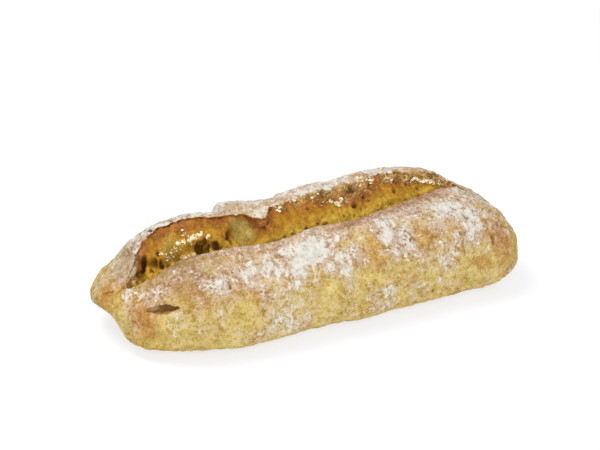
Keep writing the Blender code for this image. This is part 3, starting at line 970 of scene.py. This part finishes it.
def flour_depth(points, torn, rim, lip, broad, patchy):
    """How thick the flour lies at each point: below 0 it is bare, above 1 it hides the crust."""
    x, y, z = points.T
    bent = warped(points, *FLOUR_WARP, 301)
    flour = 0.23 + 0.24 * rising(z, *UPPER_CRUST) + 0.24 * broad + 0.30 * patchy
    flour += 0.22 * rising(y, *FLOURED_BACK_Y) * rising(z, *FLOURED_BACK_Z)
    flour -= 0.14 * lip + (0.10 + 0.12 * falling(y, *FRONT_PART)) * falling(x, *LEFT_PART)
    for *centre, reach, amount in FLOUR_PATCHES:
        flour += amount * near(bent, centre, reach * FLOUR_SPREAD)
    flour += 0.30 * bands(points, 303) * (1 - lip)
    flour -= 0.8 * (falling(z, *BARE_FOOT) + slit_opening(points)[0]) + 0.25 * lip_edge_bare_and_shaded(x, lip)
    ridge = 0.14 * between(x, *FLOURED_RIM) - 0.20 * between(x, *BARE_RIM)
    flour += rim * (ridge + 0.8 * noise(points, 0.0040, 302))
    return flour * (1 - torn) + (0.25 * patchy - 0.45) * torn


def ring_faces(rings, count):
    """The skin's faces: a fan at each tip, and quads between the rings."""
    faces = []
    left_tip, right_tip = rings * count, rings * count + 1
    last_ring = (rings - 1) * count
    for j in range(count):
        k = (j + 1) % count
        faces.append((left_tip, j, k))
        faces.append((right_tip, last_ring + k, last_ring + j))
        for start in range(0, last_ring, count):
            faces.append((start + j, start + count + j, start + count + k, start + k))
    return faces


def crust_skin():
    """The roll's skin as a mesh object that holds its looks at its points, with the arrays they came from."""
    grid, tips = skin_grid()
    rings, count = grid.shape[:2]
    ring_torn, ring_climb, ring_rim, ring_lip = zone_masks()
    opening = np.array([score_opening(x) for x in ring_places(RINGS)])
    torn, rim, lip = ((opening[:, None] * mask).ravel() for mask in (ring_torn, ring_rim, ring_lip))
    climb = np.tile(ring_climb, rings)

    points = grid.reshape(-1, 3)
    normals = outward(grid).reshape(-1, 3)
    height, shade_and_scorch = relief(points, torn, climb, rim, lip)
    torn = torn * (1 - ridge_top(points, climb))
    moved = points + normals * height[:, None]
    broad = layered(points, BROAD_SIZE, 71, 3)
    patchy = layered(points, PATCHY_SIZE, 81, 3)
    crust = crust_tints(points, rim, lip, broad, patchy)
    colour = mixed(crust, torn_tints(points, climb, broad, patchy), torn)
    flour = flour_depth(points, torn, rim, lip, broad, patchy) - 1.2 * shade_and_scorch

    vertices = np.concatenate([moved, tips])
    vertices[:, 2] = np.maximum(vertices[:, 2], 0.0)
    ends = [0, len(points) - 1]
    looks = {"flour": flour, "torn": torn, "shade_and_scorch": shade_and_scorch}
    looks = {name: np.concatenate([values, values[ends]]) for name, values in looks.items()}
    colour = np.concatenate([colour, colour[ends]])
    skin = looked_mesh("crust", vertices, ring_faces(rings, count), looks, colour)
    return skin, moved, normals, torn, climb


def placed(name, data):
    """A new object in the scene that holds the mesh, lamp or camera."""
    made = bpy.data.objects.new(name, data)
    bpy.context.scene.collection.objects.link(made)
    return made


def looked_mesh(name, vertices, faces, looks, colour):
    """A mesh object whose points hold the looks, each a number, and a colour."""
    mesh = bpy.data.meshes.new(name)
    mesh.from_pydata(vertices.tolist(), [], faces)
    mesh.shade_smooth()
    for look, values in looks.items():
        layer = mesh.attributes.new(look, "FLOAT", "POINT")
        layer.data.foreach_set("value", np.asarray(values, dtype=float))
    layer = mesh.attributes.new("tint", "FLOAT_COLOR", "POINT")
    layer.data.foreach_set("color", np.column_stack([colour, np.ones(len(colour))]).ravel())
    return placed(name, mesh)


def lumps(name, centres, radii, colours, seed):
    """Many small rough lumps as one mesh object."""
    rng = np.random.default_rng(seed)
    ball = bmesh.new()
    bmesh.ops.create_icosphere(ball, subdivisions=1, radius=1.0)
    unit = np.array([v.co[:] for v in ball.verts])
    shape = [[v.index for v in f.verts] for f in ball.faces]
    ball.free()
    vertices, faces, tints = [], [], []
    for centre, radius, colour in zip(centres, radii, colours):
        rough = 1 + LUMP_ROUGHNESS * rng.uniform(-1, 1, (len(unit), 1))
        stretch = rng.uniform(*LUMP_STRETCH, 3)
        start = len(vertices) * len(unit)
        vertices.append(centre + radius * unit * rough * stretch)
        faces.extend([[start + i for i in face] for face in shape])
        tints.append(np.tile(colour, (len(unit), 1)))
    count = len(vertices) * len(unit)
    looks = {"flour": np.full(count, LUMP_FLOUR), "torn": np.ones(count), "shade_and_scorch": np.zeros(count)}
    return looked_mesh(name, np.concatenate(vertices), faces, looks, np.concatenate(tints))


def scattered(points, normals, chances, count, radii, sunk, rng):
    """Centres and radii of lumps half sunk in the skin, at places drawn by their chances."""
    picks = rng.choice(len(points), count, replace=False, p=chances / chances.sum())
    sizes = radii[0] + (radii[1] - radii[0]) * rng.uniform(0, 1, count) ** 2
    return points[picks] + normals[picks] * (sizes * sunk)[:, None], sizes


def flour_grains(points, normals, torn, climb):
    """Pale grains and curds in clusters on the torn face."""
    rng = np.random.default_rng(7)
    centres, sizes = [], []
    for centre, share, reach, count in GRAIN_CLUSTERS:
        chances = on_face(points[:, 0], climb, centre, share, reach * SPREAD) * torn
        places, radii = scattered(points, normals, chances, count, GRAIN_RADII, GRAIN_SUNK, rng)
        centres.append(places)
        sizes.append(radii)
    centres, sizes = np.concatenate(centres), np.concatenate(sizes)
    colours = mixed(GRAIN_DARK, GRAIN_PALE, rng.uniform(0, 1.4, len(sizes)))
    return lumps("flour_grains", centres, sizes, colours, 8)


def crust_crumbs(points, normals, torn, climb):
    """Brown crumbs on the crags below the ear."""
    rng = np.random.default_rng(9)
    x = points[:, 0]
    top = CRUMB_TOP - 0.06 * rising(x, 0.040, 0.010)
    clumps = 0.1 + ease(noise(points, 0.0040, 401) * 2 + 0.5)
    chances = between(x, *CRUMB_RUN) * rising(climb, brown_climb(x), 0.12)
    chances = chances * torn * falling(climb, top, 0.04) * clumps
    centres, sizes = scattered(points, normals, chances, CRUMB_COUNT, CRUMB_RADII, CRUMB_SUNK, rng)
    colours = mixed(CRUMB_DARK, CRUMB_PALE, rng.uniform(0, 1, len(sizes)))
    return lumps("crust_crumbs", centres, sizes, colours, 10)


class Graph:
    """A short way to build a material's nodes."""

    def __init__(self, name):
        self.material = bpy.data.materials.new(name)
        self.material.use_nodes = True
        self.tree = self.material.node_tree
        self.shader = self.tree.nodes["Principled BSDF"]

    def add(self, kind, inputs=(), **settings):
        """A node with its settings and inputs; an input is a value or another node's output socket."""
        node = self.tree.nodes.new(kind)
        for name, value in settings.items():
            setattr(node, name, value)
        self.feed_all(node, dict(inputs))
        return node

    def feed_all(self, node, inputs):
        """Feeds the node's inputs by name or number."""
        for name, value in inputs.items():
            self.feed(node.inputs[name], value)

    def feed(self, socket, value):
        """Links another node's output to the socket, or sets the socket to a value."""
        if isinstance(value, bpy.types.NodeSocket):
            self.tree.links.new(value, socket)
        else:
            socket.default_value = value

    def math(self, operation, *values):
        """One sum, product or other operation on the values."""
        node = self.add("ShaderNodeMath", operation=operation)
        self.feed_all(node, dict(enumerate(values)))
        return node.outputs["Value"]

    def scaled(self, value, factor, offset=0.0):
        """The value times the factor, plus the offset."""
        return self.math("MULTIPLY_ADD", value, factor, offset)

    def smooth(self, value, low, high):
        """0 below low, 1 above high, and smooth between."""
        inputs = {"Value": value, "From Min": low, "From Max": high}
        return self.add("ShaderNodeMapRange", inputs, interpolation_type="SMOOTHSTEP").outputs["Result"]

    def noise(self, scale, detail, roughness, stretch=(1.0, 1.0, 1.0)):
        """Noise with its features as long along each axis as 1 / (scale x stretch)."""
        place = self.add("ShaderNodeTexCoord").outputs["Object"]
        run = self.add("ShaderNodeVectorMath", {0: place, 1: stretch}, operation="MULTIPLY").outputs["Vector"]
        inputs = {"Vector": run, "Scale": scale, "Detail": detail, "Roughness": roughness}
        return self.add("ShaderNodeTexNoise", inputs).outputs["Fac"]

    def swings(self, start, noises, amounts):
        """The start with each noise, taken about 0, added by its amount; 0 leaves a noise out."""
        for value, amount in zip(noises, amounts):
            if amount:
                start = self.math("ADD", start, self.scaled(value, amount, -0.5 * amount))
        return start

    def mix(self, share, a, b, blend="MIX"):
        """Colour a moved towards colour b by the share, or by another blend of the two."""
        node = self.add("ShaderNodeMix", data_type="RGBA", blend_type=blend)
        self.feed_all(node, {0: share, 6: a, 7: b})
        return node.outputs[2]

    def finish(self, inputs):
        """Feeds the material's shader, and gives the material."""
        self.feed_all(self.shader, inputs)
        return self.material

    def attribute(self, name, output="Fac"):
        """What the mesh holds at its points under the name."""
        return self.add("ShaderNodeAttribute", attribute_name=name).outputs[output]


def crust_material():
    """Crust and torn dough: the tint at each point, mottled, freckled, floured, with painted shade and scorch
    in its holes.
    """
    g = Graph("crust_finish")
    tint = g.attribute("tint", "Color")
    flour, torn, shade_and_scorch = g.attribute("flour"), g.attribute("torn"), g.attribute("shade_and_scorch")
    noises = [g.noise(*settings) for settings in MOTTLING]
    fine = noises[2]

    inputs = {0: g.swings(0.0, noises, LIGHT_SWING), 1: SPECK_WARMTH, 2: (1.0, 1.0, 1.0)}
    shade = g.add("ShaderNodeVectorMath", inputs, operation="MULTIPLY_ADD")
    base = g.mix(1.0, tint, shade.outputs["Vector"], "MULTIPLY")
    haze = g.smooth(g.swings(flour, noises, HAZE_SWING), 0.0, HAZE_FULL)
    base = g.mix(g.scaled(haze, HAZE_MOST), base, FLOUR_HAZE)

    spots = g.smooth(g.swings(0.5, noises, SPOT_SWING), *FRECKLE_RANGE)
    freckled = g.math("MULTIPLY", spots, g.scaled(flour, 0.6, 0.24))
    base = g.mix(g.math("MULTIPLY", freckled, g.scaled(torn, -0.4, 1.0)), base, FRECKLE)

    clump = g.smooth(g.swings(flour, noises, HEAP_SWING), *HEAP_RANGE)
    powder = g.mix(1.0, FLOUR_WHITE, g.swings(1.0, noises, POWDER_SWING), "MULTIPLY")
    colour = g.mix(g.scaled(clump, HEAP_MOST), base, powder)
    # Painted shade and scorch, as much as each point holds.
    shade_and_burn_share = g.math("MULTIPLY", shade_and_scorch, g.scaled(fine, 0.6, 0.6))
    colour = g.mix(g.math("MINIMUM", shade_and_burn_share, SHADE_AND_SCORCH_MOST), colour, SHADE_AND_SCORCH)

    bumps = {"Height": g.swings(0.0, noises, BUMP_SWING), "Strength": 0.9, "Distance": BUMP_DISTANCE}
    looks = {
        "Base Color": colour,
        "Roughness": g.scaled(torn, -0.30, 0.92),
        "Specular IOR Level": g.scaled(torn, -0.10, 0.18),
        "Normal": g.add("ShaderNodeBump", bumps).outputs["Normal"],
    }
    return g.finish(looks)


def floor_material():
    """A plain, very pale and slightly glowing ground."""
    looks = {"Base Color": FLOOR_COLOUR, "Roughness": FLOOR_ROUGHNESS}
    glow = {"Emission Color": FLOOR_COLOUR, "Emission Strength": FLOOR_GLOW}
    return Graph("floor_finish").finish({**looks, **glow})


def aimed(thing, place, direction):
    """Stands a lamp or camera at the place, looking in the direction."""
    thing.location = place
    thing.rotation_mode = "QUATERNION"
    thing.rotation_quaternion = direction.to_track_quat("-Z", "Y")


def studio():
    """A pale floor, a wide soft light overhead, a soft fill, and an even white surround."""
    mesh = bpy.data.meshes.new("floor")
    corners = [(i * FLOOR_HALF, j * FLOOR_HALF, 0) for i, j in ((-1, -1), (1, -1), (1, 1), (-1, 1))]
    mesh.from_pydata(corners, [], [(0, 1, 2, 3)])
    mesh.materials.append(floor_material())
    placed("floor", mesh)

    world = bpy.data.worlds.new("surround")
    world.use_nodes = True
    background = world.node_tree.nodes["Background"]
    background.inputs["Color"].default_value = (1.0, 1.0, 1.0, 1.0)
    background.inputs["Strength"].default_value = SURROUND_STRENGTH
    bpy.context.scene.world = world

    for name, place, size, power in LAMPS:
        light = bpy.data.lights.new(name, "AREA")
        light.size = size
        light.energy = power
        aimed(placed(name, light), place, Vector(-np.array(place)))


def photo_camera():
    """A camera at the photo's angle and distance."""
    azimuth, elevation = math.radians(CAMERA_AZIMUTH), math.radians(CAMERA_ELEVATION)
    level = math.cos(elevation)
    back = Vector((math.sin(azimuth) * level, -math.cos(azimuth) * level, math.sin(elevation)))
    lens = bpy.data.cameras.new("camera")
    lens.lens = CAMERA_LENS
    lens.sensor_width = CAMERA_SENSOR
    camera = placed("camera", lens)
    aimed(camera, Vector(CAMERA_TARGET) + back * CAMERA_DISTANCE, -back)
    bpy.context.scene.camera = camera


skin, skin_points, skin_normals, skin_torn, skin_climb = crust_skin()
finish = crust_material()
pieces = (
    skin,
    flour_grains(skin_points, skin_normals, skin_torn, skin_climb),
    crust_crumbs(skin_points, skin_normals, skin_torn, skin_climb),
)
for piece in pieces:
    piece.data.materials.append(finish)
    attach(piece, "root")
    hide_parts("bread_roll")

studio()
photo_camera()
bpy.context.scene.view_settings.view_transform = "Standard"
